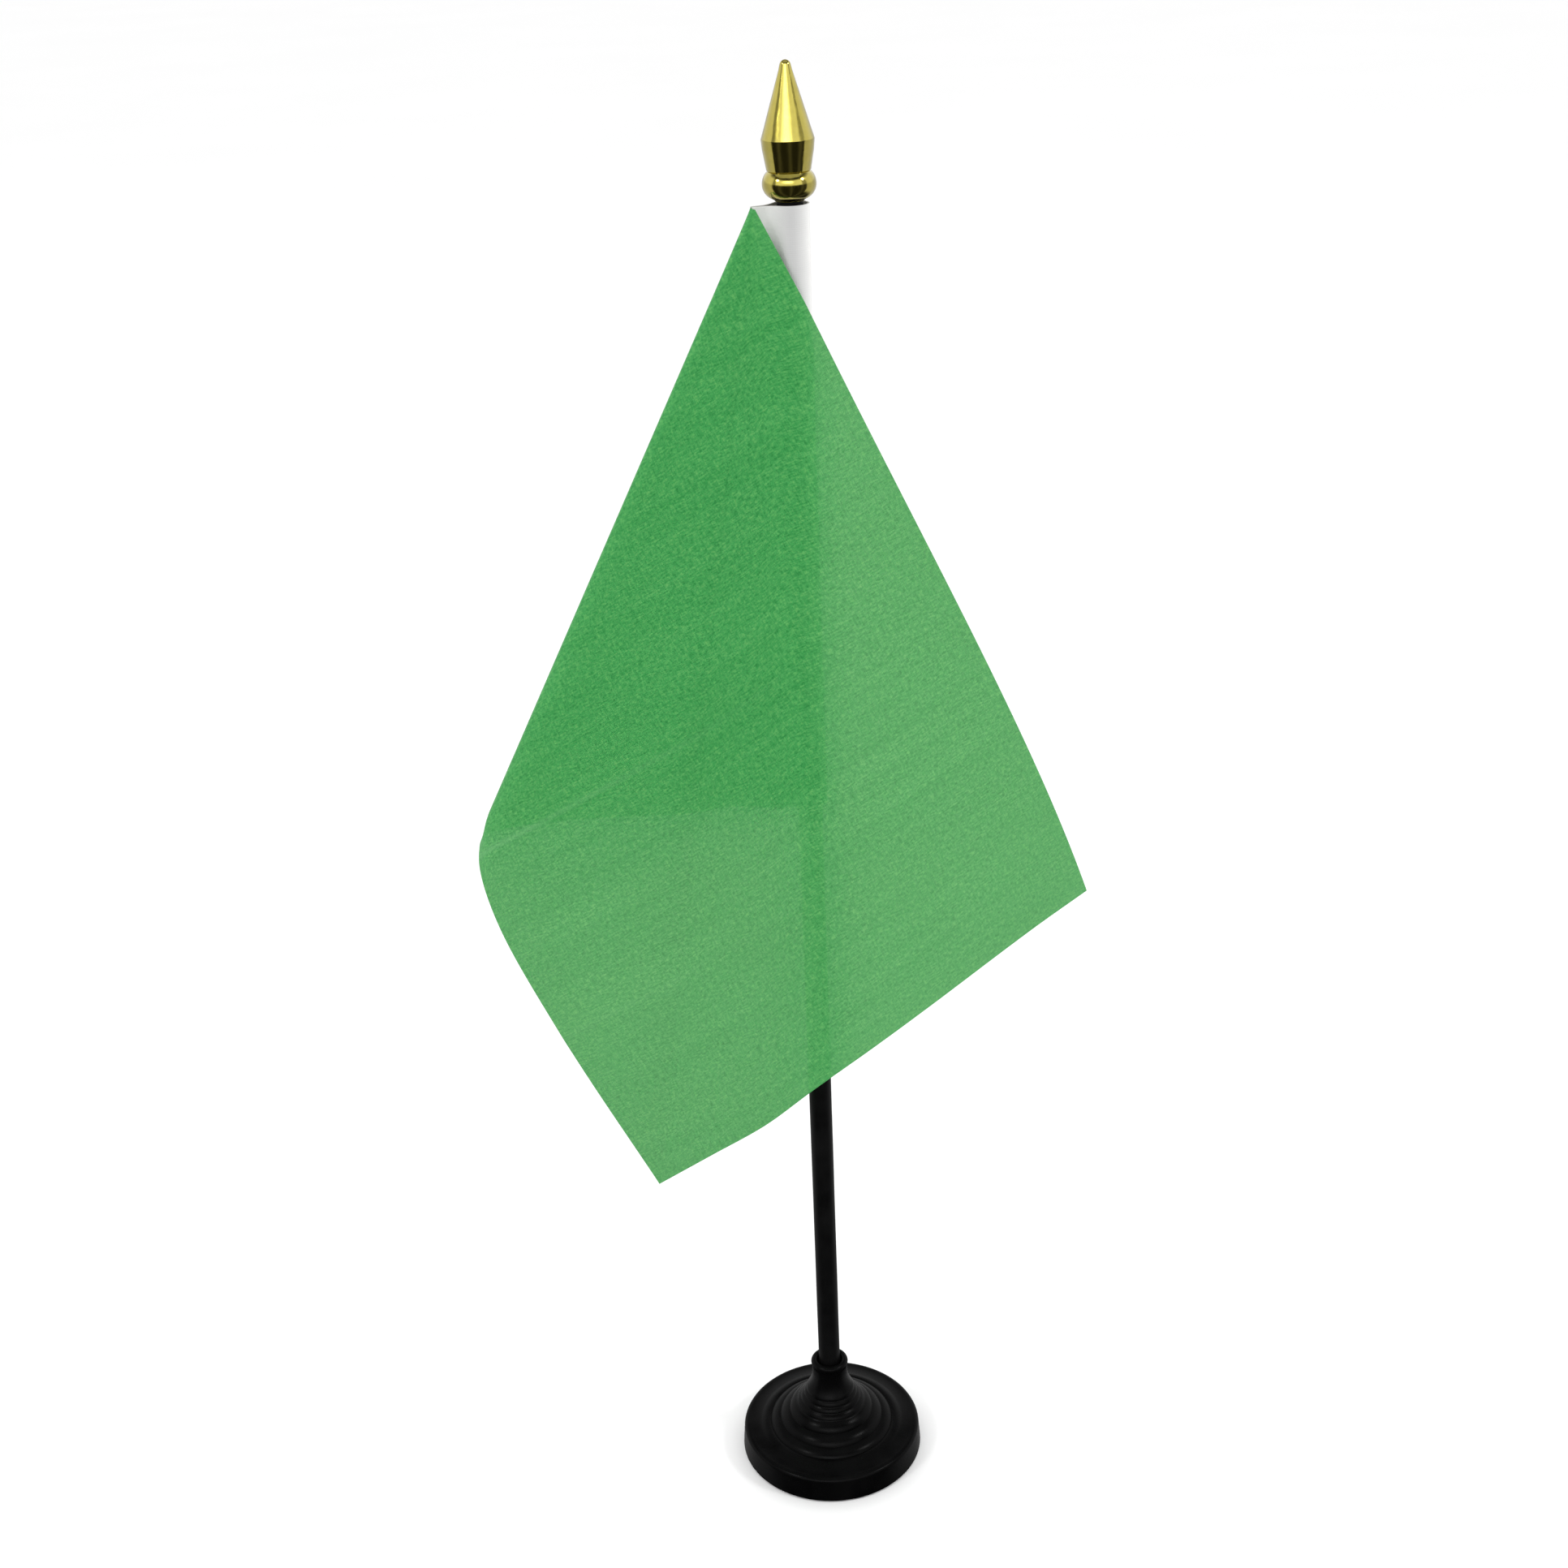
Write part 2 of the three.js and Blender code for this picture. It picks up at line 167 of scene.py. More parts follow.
class Tree:
    """A material's node tree with short calls for the nodes used here."""

    def __init__(self, name):
        self.material = bpy.data.materials.new(name)
        self.material.use_nodes = True
        self.tree = self.material.node_tree
        self.shader = self.tree.nodes["Principled BSDF"]
        self.output = self.tree.nodes["Material Output"]

    def node(self, kind, **settings):
        made = self.tree.nodes.new(kind)
        for key, value in settings.items():
            setattr(made, key, value)
        return made

    def link(self, source, target):
        self.tree.links.new(source, target)

    def feed(self, value, socket):
        if isinstance(value, bpy.types.NodeSocket):
            self.link(value, socket)
        else:
            socket.default_value = value

    def scaled(self, vector, scale, turn=(0, 0, 0)):
        mapping = self.node("ShaderNodeMapping")
        mapping.inputs["Scale"].default_value = scale
        mapping.inputs["Rotation"].default_value = turn
        self.link(vector, mapping.inputs["Vector"])
        return mapping.outputs["Vector"]

    def place(self, scale=(1, 1, 1), turn=(0, 0, 0)):
        """The piece's own coordinates."""
        return self.scaled(self.node("ShaderNodeTexCoord").outputs["Object"], scale, turn)

    def noise(self, place, scale, detail, roughness=0.5):
        made = self.node("ShaderNodeTexNoise")
        self.link(place, made.inputs["Vector"])
        made.inputs["Scale"].default_value = scale
        made.inputs["Detail"].default_value = detail
        made.inputs["Roughness"].default_value = roughness
        return made.outputs["Fac"]

    def math(self, operation, a, b=0.0):
        made = self.node("ShaderNodeMath", operation=operation)
        for value, socket in zip((a, b), made.inputs):
            self.feed(value, socket)
        return made.outputs["Value"]

    def waves(self, value, pitch):
        """A sine that crosses 0 once in each pitch."""
        return self.math("SINE", self.math("MULTIPLY", value, math.pi / pitch))

    def spread(self, value, low, high, to_low, to_high):
        """value from low to high becomes to_low to to_high, and stops at both ends."""
        made = self.node("ShaderNodeMapRange")
        for key, number in (("From Min", low), ("From Max", high), ("To Min", to_low), ("To Max", to_high)):
            made.inputs[key].default_value = number
        self.link(value, made.inputs["Value"])
        return made.outputs["Result"]

    def ramp(self, value, stops):
        made = self.node("ShaderNodeValToRGB")
        band = made.color_ramp
        while len(band.elements) < len(stops):
            band.elements.new(0.5)
        for element, (at, colour) in zip(band.elements, stops):
            element.position = at
            element.color = (*colour, 1)
        self.link(value, made.inputs["Fac"])
        return made.outputs["Color"]

    def mix(self, fac, a, b, blend="MIX"):
        made = self.node("ShaderNodeMix", data_type="RGBA", blend_type=blend)
        self.feed(fac, made.inputs["Factor"])
        colour_sockets = [s for s in made.inputs if s.type == "RGBA"]
        self.feed(a if isinstance(a, bpy.types.NodeSocket) else (*a, 1), colour_sockets[0])
        self.feed(b if isinstance(b, bpy.types.NodeSocket) else (*b, 1), colour_sockets[1])
        return next(s for s in made.outputs if s.type == "RGBA")

    def bump(self, height, distance, strength=1.0, below=None):
        made = self.node("ShaderNodeBump")
        made.inputs["Distance"].default_value = distance
        made.inputs["Strength"].default_value = strength
        self.link(height, made.inputs["Height"])
        if below is not None:
            self.link(below, made.inputs["Normal"])
        return made.outputs["Normal"]

    def set(self, **values):
        for key, value in values.items():
            self.feed(value, self.shader.inputs[key.replace("_", " ")])

    def share(self, first, second, amount):
        """A mix of two shaders, with an amount from 0 to 1 of the second."""
        made = self.node("ShaderNodeMixShader")
        made.inputs["Fac"].default_value = amount
        self.link(first, made.inputs[1])
        self.link(second, made.inputs[2])
        return made.outputs["Shader"]

    def glow(self, colour, amount):
        """The main shader with an amount of light scattered through the sheet."""
        scattered = self.node("ShaderNodeBsdfTranslucent")
        scattered.inputs["Color"].default_value = (*colour, 1)
        return self.share(self.shader.outputs["BSDF"], scattered.outputs["BSDF"], amount)


# ---------------------------------------------------------------- materials

def black_plastic(name, shade, gloss, specular):
    """Injection-moulded black plastic: a fine satin texture, with wear and dust that vary the gloss."""
    t = Tree(name)
    place = t.place()
    cloudy = t.noise(place, 160, 4)
    grain = t.noise(place, 5200, 2)
    specks = t.noise(place, 1700, 1)
    pale = shade * 1.9
    colour = t.ramp(cloudy, [(0.35, (shade, shade, shade * 1.05)), (0.7, (pale, pale, shade * 1.95))])
    dusty = t.mix(t.spread(specks, 0.72, 0.8, 0, 0.5), colour, (shade * 5, shade * 5, shade * 4.8))
    t.set(Base_Color=dusty)
    t.set(Roughness=t.spread(cloudy, 0.3, 0.7, gloss - 0.05, gloss + 0.09))
    t.set(Normal=t.bump(grain, 0.00003, 0.5))
    t.shader.inputs["Specular IOR Level"].default_value = specular
    return t.material


def gold_plating():
    """Vacuum-metallised plastic under yellow lacquer: a bright mirror with slow waves and fine hairlines."""
    t = Tree("gold_plating")
    waves = t.noise(t.place((1, 1, 0.45)), 260, 2)
    hairlines = t.noise(t.place((1, 1, 0.06)), 2600, 3, 0.6)
    stain = t.noise(t.place(), 420, 4)
    colour = t.ramp(stain, [(0.3, (0.52, 0.435, 0.060)), (0.7, (0.60, 0.505, 0.085))])
    t.set(Base_Color=colour)
    t.set(Metallic=1.0)
    t.set(Roughness=t.spread(hairlines, 0.3, 0.75, 0.07, 0.18))
    t.shader.inputs["Coat Weight"].default_value = 1.0
    t.shader.inputs["Coat Roughness"].default_value = 0.06
    t.set(Normal=t.bump(hairlines, 0.00001, 0.35, t.bump(waves, 0.00035, 0.35)))
    return t.material


FLAG_WEAVE_PITCH = 0.42 * MM
TAPE_WEAVE_PITCH = 0.5 * MM
TAPE_RIB_PITCH = 0.45 * MM
THREAD_TWIST_PITCH = 0.3 * MM


def weave_height(t, u, v, pitch):
    """Plain weave: at each crossing the warp or the weft lies on top, each yarn round across its width."""
    u_waves, v_waves = t.waves(u, pitch), t.waves(v, pitch)
    turn = t.spread(t.math("MULTIPLY", u_waves, v_waves), -0.25, 0.25, 0, 1)
    over = t.math("MULTIPLY", t.math("ABSOLUTE", u_waves), turn)
    under = t.math("MULTIPLY", t.math("ABSOLUTE", v_waves), t.math("SUBTRACT", 1.0, turn))
    return t.math("ADD", over, under)


def cloth_coordinates(t):
    """The sheet's flat coordinates in metres: u from the hoist, v down from the top edge."""
    flat = t.node("ShaderNodeAttribute", attribute_name="flat")
    parts = t.node("ShaderNodeSeparateXYZ")
    t.link(flat.outputs["Vector"], parts.inputs["Vector"])
    return flat.outputs["Vector"], parts.outputs["X"], parts.outputs["Y"]


CREASES = [(101.0, 0.45, 0.14), (157.5, 0.28, 0.04)]  # place from the hoist, height, strength of its painted highlight line
CREASE_WIDTH = 7.0
CREASE_TOP_FADE, CREASE_FOLD_FADE = 40, 14  # how far from the top edge and the fold a ridge is at full height
# the paler green of a painted highlight along each crease's ridge
CREASE_HIGHLIGHT_COLOUR = (0.35, 0.72, 0.36)
FLAG_GLOW = 0.14  # of each face of the sheet, how much of the light it scatters through
FLAG_OPENNESS = 0.122  # of each face, how much goes straight through the weave's gaps


def crease_highlight_line(t, u, v, place):
    """1 on a line at a distance in millimetres from the hoist, where a painted highlight runs along a
    crease's ridge. It fades towards the top edge.
    """
    away = t.math("ABSOLUTE", t.math("SUBTRACT", u, place * MM))
    line = t.spread(away, 0.2 * MM, 1.2 * MM, 1.0, 0.0)
    return t.math("MULTIPLY", line, t.spread(v, 30 * MM, 120 * MM, 0.0, 1.0))


def flag_cloth():
    """Thin green polyester in an open plain weave, whose gaps let light straight through."""
    t = Tree("flag_cloth")
    flat, u, v = cloth_coordinates(t)
    warp_slubs = t.noise(t.scaled(flat, (1, 0.28, 1)), 2400, 3, 0.65)
    weft_slubs = t.noise(t.scaled(flat, (0.3, 1, 1)), 2100, 3, 0.65)
    clouds = t.noise(flat, 28, 3)
    yarns = t.math("ADD", t.math("MULTIPLY", warp_slubs, 0.6), t.math("MULTIPLY", weft_slubs, 0.4))
    streaks = t.noise(t.scaled(flat, (1, 0.03, 1)), 420, 5, 0.65)
    base = t.ramp(yarns, [
        (0.36, (0.022, 0.300, 0.060)),
        (0.5, (0.063, 0.428, 0.107)),
        (0.64, (0.150, 0.560, 0.150)),
    ])
    tone = t.ramp(clouds, [(0.3, (0.95, 0.97, 0.95)), (0.7, (1.0, 1.0, 1.0))])
    streaked = t.ramp(streaks, [(0.34, (0.80, 0.93, 0.86)), (0.66, (1.18, 1.04, 1.06))])
    shaded = t.mix(1.0, t.mix(1.0, base, tone, "MULTIPLY"), streaked, "MULTIPLY")
    weave = weave_height(t, u, v, FLAG_WEAVE_PITCH)
    # painted highlight: a paler green line along the ridge of each crease
    crease_highlights = [t.math("MULTIPLY", crease_highlight_line(t, u, v, place), strength) for place, _, strength in CREASES]
    t.set(Base_Color=t.mix(t.math("MAXIMUM", *crease_highlights), shaded, CREASE_HIGHLIGHT_COLOUR))
    t.set(Roughness=t.spread(weave, 0, 1, 0.86, 0.66))
    t.set(Normal=t.bump(weave, 0.05 * MM, 0.6, t.bump(yarns, 0.08 * MM, 0.5)))
    t.shader.inputs["Specular IOR Level"].default_value = 0.25
    t.shader.inputs["Sheen Weight"].default_value = 0.06
    t.shader.inputs["Sheen Roughness"].default_value = 0.4
    gaps = t.node("ShaderNodeBsdfTransparent")
    surface = t.share(t.glow((0.86, 0.86, 0.70), FLAG_GLOW), gaps.outputs["BSDF"], FLAG_OPENNESS)
    t.link(surface, t.output.inputs["Surface"])
    return t.material


TAPE_GLOW = 0.10  # of each face of the tape, how much of the light it scatters through
TAPE_PAINTED_SHADE_LINE = 8.6  # where along its width the tape lies on the pole; painted shade, a grey band there, stands in for the pole's black seen through it
TAPE_PAINTED_SHADE_CORE, TAPE_PAINTED_SHADE_REACH = 0.4, 4.6  # to either side, where the painted shade starts to fade and is gone
# how much the painted shade greys the tape, and its colour
TAPE_PAINTED_SHADE_SHARE = 0.52
TAPE_PAINTED_SHADE_COLOUR = (0.40, 0.40, 0.41)


def sleeve_tape():
    """White satin tape: fine ribs across the pole, a soft shine, and a grey band of painted shade where it
    lies on the pole, standing in for the pole's black faintly through it.
    """
    t = Tree("sleeve_tape")
    flat, u, v = cloth_coordinates(t)
    weave = weave_height(t, u, v, TAPE_WEAVE_PITCH)
    ribs = t.math("ABSOLUTE", t.waves(v, TAPE_RIB_PITCH))
    clouds = t.noise(flat, 90, 3)
    colour = t.ramp(clouds, [(0.3, (0.91, 0.91, 0.895)), (0.7, (0.95, 0.95, 0.93))])
    # painted shade: the base colour greys towards the line where the tape lies on the pole
    from_painted_shade = t.math("ABSOLUTE", t.math("SUBTRACT", u, TAPE_PAINTED_SHADE_LINE * MM))
    painted_shade = t.spread(from_painted_shade, TAPE_PAINTED_SHADE_CORE * MM, TAPE_PAINTED_SHADE_REACH * MM, TAPE_PAINTED_SHADE_SHARE, 0.0)
    t.set(Base_Color=t.mix(painted_shade, colour, TAPE_PAINTED_SHADE_COLOUR))
    t.set(Roughness=t.spread(ribs, 0, 1, 0.62, 0.42))
    t.set(Normal=t.bump(ribs, 0.04 * MM, 0.5, t.bump(weave, 0.03 * MM, 0.4)))
    t.shader.inputs["Sheen Weight"].default_value = 0.15
    t.shader.inputs["Sheen Roughness"].default_value = 0.35
    t.link(t.glow((0.93, 0.93, 0.91), TAPE_GLOW), t.output.inputs["Surface"])
    return t.material


def sewing_thread():
    """Twisted white polyester thread, with painted shade darkening the grooves between the turns of its
    twist.
    """
    t = Tree("sewing_thread")
    parts = t.node("ShaderNodeSeparateXYZ")
    t.link(t.place(turn=(0.0, 0.6, 0.0)), parts.inputs["Vector"])
    twist = t.math("ABSOLUTE", t.waves(parts.outputs["Z"], THREAD_TWIST_PITCH))
    # painted shade: the white greys in the grooves of the twist
    shade = t.ramp(twist, [(0.0, (0.62, 0.62, 0.6)), (0.6, (0.86, 0.86, 0.83))])
    t.set(Base_Color=shade)
    t.set(Roughness=t.spread(twist, 0, 1, 0.7, 0.5))
    t.set(Normal=t.bump(twist, 0.00004, 0.7))
    return t.material


def pad_rubber():
    """Black sheet rubber with a fine pebbled face."""
    t = Tree("pad_rubber")
    place = t.place()
    cells = t.node("ShaderNodeTexVoronoi")
    t.link(place, cells.inputs["Vector"])
    cells.inputs["Scale"].default_value = 1400
    clouds = t.noise(place, 130, 3)
    t.set(Base_Color=t.ramp(clouds, [(0.3, (0.010, 0.010, 0.010)), (0.7, (0.022, 0.022, 0.021))]))
    t.set(Roughness=t.spread(clouds, 0.3, 0.7, 0.78, 0.92))
    t.set(Normal=t.bump(cells.outputs["Distance"], 0.00012, 0.6))
    return t.material


def cast_iron():
    """Plain cast iron, dull and slightly rusted."""
    t = Tree("cast_iron")
    place = t.place()
    clouds = t.noise(place, 220, 5, 0.6)
    pits = t.noise(place, 1500, 3)
    rust = t.spread(clouds, 0.52, 0.7, 0, 0.7)
    t.set(Base_Color=t.mix(rust, (0.09, 0.085, 0.08), (0.13, 0.055, 0.025)))
    t.set(Metallic=t.spread(clouds, 0.5, 0.7, 0.85, 0.2))
    t.set(Roughness=t.spread(clouds, 0.4, 0.7, 0.5, 0.85))
    t.set(Normal=t.bump(pits, 0.0002, 0.6))
    return t.material


# ---------------------------------------------------------------- foot

SHELF_Z = 7.4
SHELF_INNER_RADIUS = 18.6
NECK_RADIUS = 4.75
NECK_FOOT_Z = 24.0
TRUMPET_EXPONENT = 1.5
ROLL_EDGES = [19.4, 16.7, 14.1, 11.5, 9.3, 8.2, 7.3, 6.55, 5.9]
ROLL_SHARE = 0.19  # of a roll's width, how far it stands out
ROLL_STEPS = 8
FOOT_WALL = 1.6
INNER_RADII = [6.5, 8, 9.5, 11.5, 13, 14.5, 16.5, 18.5]
SOCKET_GAP = 0.3


def trumpet_z(r):
    """Height of the foot's smooth trumpet, before the rolls, at a radius."""
    width = SHELF_INNER_RADIUS - NECK_RADIUS
    across = min(1.0, max(0.0, (SHELF_INNER_RADIUS - r) / width))
    return NECK_FOOT_Z - (NECK_FOOT_Z - SHELF_Z) * (1 - across ** TRUMPET_EXPONENT) ** (1 / TRUMPET_EXPONENT)


def foot_profile(foot_radius, rim_z, collar_top, socket_radius, socket_floor):
    """Up the outside from the rim, over the rolls and the collar, down the socket, and back underneath."""
    inner_radius = foot_radius - FOOT_WALL
    shelf_under = SHELF_Z - FOOT_WALL - 0.3
    socket_under = socket_floor - FOOT_WALL
    points = rounded([
        (inner_radius, rim_z, 0),
        (inner_radius + 0.1, rim_z, 0),
        (foot_radius, rim_z, 0.35),
        (foot_radius - 0.5, SHELF_Z - 0.05, 1.35),
        (SHELF_INNER_RADIUS + 1.3, SHELF_Z - 0.25, 0),
    ], 8)
    for outer, inner in zip(ROLL_EDGES, ROLL_EDGES[1:]):
        for k in range(1, ROLL_STEPS + 1):
            share = k / ROLL_STEPS
            r = outer + (inner - outer) * share
            swell = 0.0
            if k < ROLL_STEPS:
                swell = ROLL_SHARE * (outer - inner) * math.sin(math.pi * share) ** 0.75
            slope = math.atan2(trumpet_z(r - 0.2) - trumpet_z(r + 0.2), 0.4)
            points.append((r + swell * math.sin(slope), trumpet_z(r) + swell * math.cos(slope)))
    points += [(NECK_RADIUS + 0.35, 22.2), (NECK_RADIUS + 0.08, 23.6), (NECK_RADIUS, 24.6)]
    points += [(NECK_RADIUS, collar_top - 2.3)]
    points += arc(NECK_RADIUS - 0.75, collar_top - 1.0, 1.0, -38, 110, 12)
    points += [(socket_radius + 0.12, collar_top - 0.55), (socket_radius, collar_top - 1.1)]
    points += [(socket_radius, socket_floor + 0.2), (socket_radius - 0.2, socket_floor)]
    points += [(0, socket_floor), (0, socket_under), (NECK_RADIUS - 0.3, socket_under)]
    points += [(NECK_RADIUS, socket_under + 0.3), (NECK_RADIUS + 0.1, 12.0)]
    for r in INNER_RADII:
        points.append((r, max(shelf_under, trumpet_z(r + 1) - FOOT_WALL - 0.4)))
    points += [(inner_radius - 0.7, shelf_under), (inner_radius - 0.1, shelf_under - 0.6)]
    return points


def make_foot():
    low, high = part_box("base_shell")
    pole_low, pole_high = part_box("pole")
    socket_radius, socket_floor = pole_high.x / MM + SOCKET_GAP, pole_low.z / MM - SOCKET_GAP
    profile = foot_profile(high.x / MM, low.z / MM, high.z / MM, socket_radius, socket_floor)
    foot = turned("foot_shell", profile, 160)
    sharpen(foot, 50)
    plastic = black_plastic("foot_plastic", shade=0.0014, gloss=0.27, specular=0.06)
    finish_piece(foot, "stand_base", plastic, "base_shell")


def make_foot_pad():
    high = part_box("foot_pad")[1]
    radius, top = high.x / MM, high.z / MM
    edge = rounded([(0.1, 0, 0), (radius, 0, 0.35), (radius, top, 0.2), (0.1, top, 0)])
    profile = [(0, 0)] + edge + [(0, top)]
    pad = turned("foot_pad_disc", profile, 120)
    sharpen(pad, 50)
    finish_piece(pad, "stand_base", pad_rubber(), "foot_pad")


# ---------------------------------------------------------------- pole and finial

POLE_BORE = 1.95
POLE_SECTIONS = 120
POLE_END = 2.0  # length of the plain part at each end
UNEVENNESS = 0.035  # of the pole's and the finial's skin


def make_pole():
    low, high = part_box("pole")
    radius, bottom, top = high.x / MM, low.z / MM, high.z / MM
    points = rounded([(POLE_BORE, bottom, 0), (radius, bottom, 0.3), (radius, bottom + POLE_END, 0)], 4)
    for k in range(1, POLE_SECTIONS):
        points.append((radius, bottom + POLE_END + (top - bottom - 2 * POLE_END) * k / POLE_SECTIONS))
    points += rounded([
        (radius, top - POLE_END, 0),
        (radius, top, 0.35),
        (POLE_BORE + 0.05, top, 0.15),
        (POLE_BORE, top - 0.5, 0),
    ], 4)
    points.append((POLE_BORE, bottom + 0.5))

    def drawn(r, z, angle):
        """The slight unevenness of an extruded tube."""
        if r < radius - 0.5:
            return 0.0
        return UNEVENNESS * noise.noise(Vector((math.cos(angle) * 0.7, math.sin(angle) * 0.7, z * 0.05)))

    pole = turned("pole_tube", points, 72, drawn)
    sharpen(pole, 50)
    plastic = black_plastic("pole_plastic", shade=0.0026, gloss=0.38, specular=0.11)
    finish_piece(pole, "pole_tube", plastic, "pole")


FINIAL_GAP = 0.3  # from the CAD finial's lower face to the visible one's, a thin dark line above the sleeve
BEAD_RADIUS = 5.8
BEAD_Z = 340.2
BEAD_HEIGHT = 3.3
BEAD_START, BEAD_TURN = -72, 130  # degrees of its round side
BEAD_STEPS = 28
BEAD_TUCK_BELOW, BEAD_TUCK_ABOVE = 3.6, 2.8  # how far it draws in, if its side turned a quarter of a circle
SHOULDER = (5.7, 349.4)
CONE_FOOT = (4.9, 351.9)
CONE_STEPS = 14
TIP_RADIUS = 1.2


def make_finial():
    low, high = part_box("finial")
    bottom, tip = low.z / MM + FINIAL_GAP, high.z / MM
    pole_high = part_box("pole")[1]
    bore, ceiling = pole_high.x / MM + SOCKET_GAP, pole_high.z / MM + SOCKET_GAP
    points = [(bore, bottom + 2), (bore, bottom + 0.05), (bore + 0.05, bottom)]
    for k in range(BEAD_STEPS):
        angle = math.radians(BEAD_START + BEAD_TURN * k / BEAD_STEPS)
        tuck = BEAD_TUCK_BELOW if angle < 0 else BEAD_TUCK_ABOVE
        r = BEAD_RADIUS - tuck * (1 - math.cos(angle))
        points.append((r, BEAD_Z + BEAD_HEIGHT * math.sin(angle)))
    points += rounded([
        (BEAD_RADIUS - 1.32, BEAD_Z + BEAD_HEIGHT * 0.848, 0),
        (4.75, 343.05, 0.3),
        (5.15, 345.4, 3.0),
        (5.5, 347.4, 3.0),
        (*SHOULDER, 0.7),
        (*CONE_FOOT, 0),
    ], 8)
    cone_head = (TIP_RADIUS - 0.04, tip - TIP_RADIUS + 0.05)
    for k in range(1, CONE_STEPS):
        share = k / CONE_STEPS
        points.append(tuple(a + (b - a) * share for a, b in zip(CONE_FOOT, cone_head)))
    points += arc(0, tip - TIP_RADIUS, TIP_RADIUS, 12, 90, 12)[:-1] + [(0, tip)]
    points += [(0, ceiling), (bore - 0.2, ceiling), (bore, ceiling - 0.2)]

    def dented(r, z, angle):
        """Thin-walled moulding: the metallised skin wavers slightly."""
        if r < bore + 0.3:
            return 0.0
        at = Vector((math.cos(angle) * 1.6, math.sin(angle) * 1.6, z * 0.22))
        return UNEVENNESS * noise.noise(at) * min(1.0, r / 3)

    finial = turned("spear_finial", points, 144, dented)
    sharpen(finial, 60)
    finish_piece(finial, "finial_cap", gold_plating(), "finial")


# ---------------------------------------------------------------- flag

HOIST = 140.0
FLY = 210.0
SEAM_ANGLE = math.radians(200)
SEAM_REACH = 8.75
SLEEVE_RADIUS = 4.1
SLEEVE_TOP_Z = 336.2
FLAG_VISIBLE_THICKNESS = 0.22
HOIST_EDGE_REACH = 6.45
FRONT_OFFSET = 1.9
WRAP_RADIUS = 4.9
CORNER_GAP = 0.3
BOTTOM_EDGE = [
    (-19, 4.5, 193.4), (-31.3, 13, 187.9), (-47, 24.5, 182.5), (-65.5, 28, 180.2), (-81.4, 19, 181.4),
    (-82.5, 13, 179.5), (-82, 9.5, 174.5), (-78, 7, 160), (-63, 4.5, 126), (-43, 3, 85.5),
]
FLY_EDGE = [
    (-43, 3, 85.5), (-28.5, -3, 98), (-14, -6.5, 109), (-1.5, -6.5, 119),
    (14, 1, 126), (28.5, 11, 131), (58, 29.5, 143), (73, 38, 149),
]
FOLD_START, FOLD_END = 4, 8  # spans of the bottom edge over which the sheet turns back on itself
FOLD_CREST, FOLD_SPREAD = 6, 2
FOLD_FLARE = 1.5  # how far the fold bulges out
FLARE_END = 0.94  # of a line's length, where the bulge starts to close towards the bottom edge
TOP_ARCH = 2.4  # how far the top edge bulges out
ARCH_POWER = 2.2
ARCH_PEAK = 0.137  # the largest value of share ** ARCH_POWER * (1 - share)
BOTTOM_COLUMNS, FLY_COLUMNS, ROWS = 150, 84, 110
ROW_CROWDING = 1.25

seam_direction = np.array([math.cos(SEAM_ANGLE), math.sin(SEAM_ANGLE), 0.0])
seam_normal = np.array([-seam_direction[1], seam_direction[0], 0.0])
hoist_top = seam_direction * SEAM_REACH + np.array([0, 0, SLEEVE_TOP_Z])
hoist_foot = hoist_top - np.array([0, 0, HOIST])
front_top = hoist_top + seam_normal * FRONT_OFFSET


def smoothstep(value, low, high):
    """0 below low, 1 above high, and a smooth rise between them."""
    share = min(1.0, max(0.0, (value - low) / (high - low)))
    return share * share * (3 - 2 * share)


def edge_point(points, along):
    """A point of a centripetal Catmull-Rom curve, along from 0 to the number of spans."""
    points = [np.array(p, float) for p in points]
    span = min(int(along), len(points) - 2)
    t = along - span
    p1, p2 = points[span], points[span + 1]
    p0 = points[span - 1] if span > 0 else 2 * p1 - p2
    p3 = points[span + 2] if span + 2 < len(points) else 2 * p2 - p1
    knots = [0.0]
    for a, b in ((p0, p1), (p1, p2), (p2, p3)):
        knots.append(knots[-1] + math.sqrt(np.linalg.norm(b - a)))
    at = knots[1] + (knots[2] - knots[1]) * t

    def between(a, b, ta, tb):
        return a * (tb - at) / (tb - ta) + b * (at - ta) / (tb - ta)

    a1 = between(p0, p1, knots[0], knots[1])
    a2 = between(p1, p2, knots[1], knots[2])
    a3 = between(p2, p3, knots[2], knots[3])
    b1 = between(a1, a2, knots[0], knots[2])
    b2 = between(a2, a3, knots[1], knots[3])
    return between(b1, b2, knots[1], knots[2])


def tight_path(start, end):
    """A line from start to end, drawn tight round the front of the sleeve where it would cut through it."""
    run = end[:2] - start[:2]
    if end[0] < 0 or (run[1] * start[0] - run[0] * start[1]) >= WRAP_RADIUS * np.linalg.norm(run):
        return lambda share: start + (end - start) * share
    start_reach, end_reach = np.linalg.norm(start[:2]), np.linalg.norm(end[:2])
    first_angle = math.atan2(start[1], start[0]) + math.acos(WRAP_RADIUS / start_reach)
    last_angle = math.atan2(end[1], end[0]) - math.acos(WRAP_RADIUS / end_reach)
    if first_angle < -math.pi:
        first_angle += 2 * math.pi
    first = math.sqrt(start_reach ** 2 - WRAP_RADIUS ** 2)
    turn = WRAP_RADIUS * (last_angle - first_angle)
    last = math.sqrt(end_reach ** 2 - WRAP_RADIUS ** 2)

    def touch(angle):
        return np.array([WRAP_RADIUS * math.cos(angle), WRAP_RADIUS * math.sin(angle)])

    def at(share):
        gone = share * (first + turn + last)
        if gone < first:
            plan = start[:2] + (touch(first_angle) - start[:2]) * gone / first
        elif gone < first + turn:
            plan = touch(first_angle + (gone - first) / WRAP_RADIUS)
        else:
            plan = touch(last_angle) + (end[:2] - touch(last_angle)) * (gone - first - turn) / last
        return np.array([plan[0], plan[1], start[2] + (end[2] - start[2]) * share])

    return at


